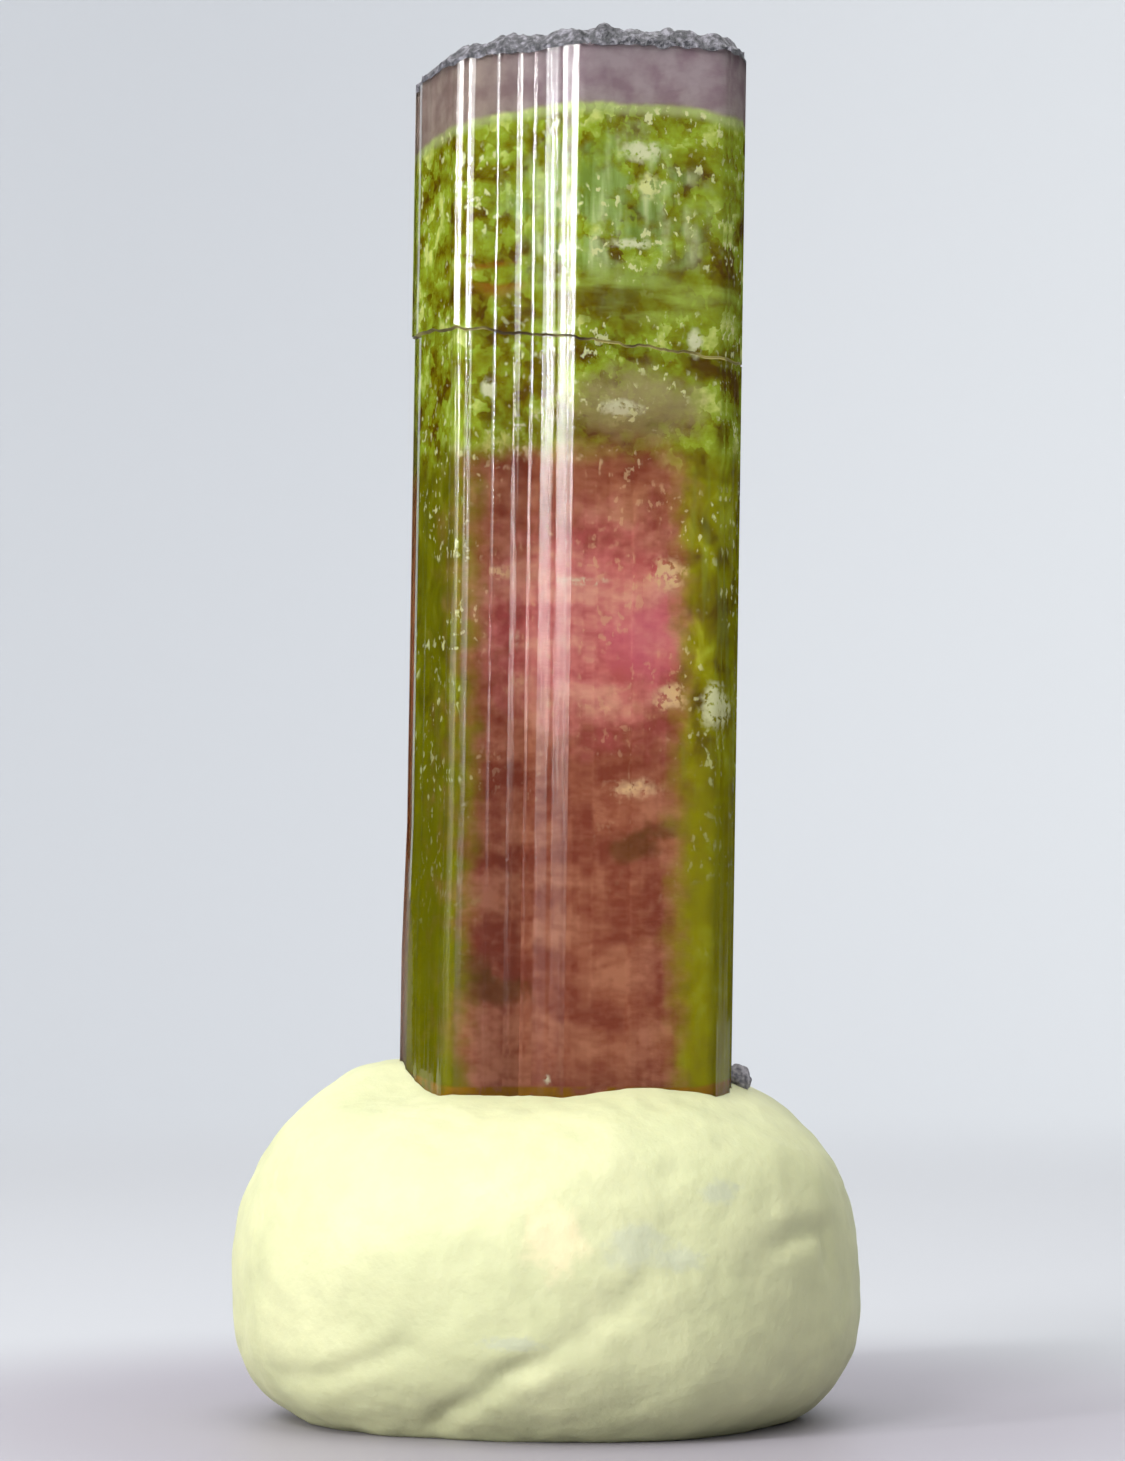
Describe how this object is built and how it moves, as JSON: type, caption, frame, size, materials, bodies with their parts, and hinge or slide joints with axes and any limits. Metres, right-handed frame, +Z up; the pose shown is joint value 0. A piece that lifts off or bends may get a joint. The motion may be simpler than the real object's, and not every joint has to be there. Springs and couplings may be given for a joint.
{
  "type": "watermelon tourmaline crystal",
  "caption": "Slim striated tourmaline prism with a mauve cap, green rind and pink core, its rough end up and its foot pressed into a rounded lump of pale display putty.",
  "frame": {"origin": "on the resting surface, under the middle of the whole object", "axes": "+Z up along the standing crystal, -Y towards the side with the bright stepped growth lines, +X the way the crystal leans"},
  "size_m": [0.0196, 0.0184, 0.0435],
  "materials": {
    "tourmaline": "clear and glossy, zoned mauve, green and pink, with a rough grey end",
    "putty": "matt, slightly waxy"
  },
  "bodies": {
    "root": {"tourmaline_crystal": "tourmaline", "putty_lump": "putty"}
  },
  "joints": []
}
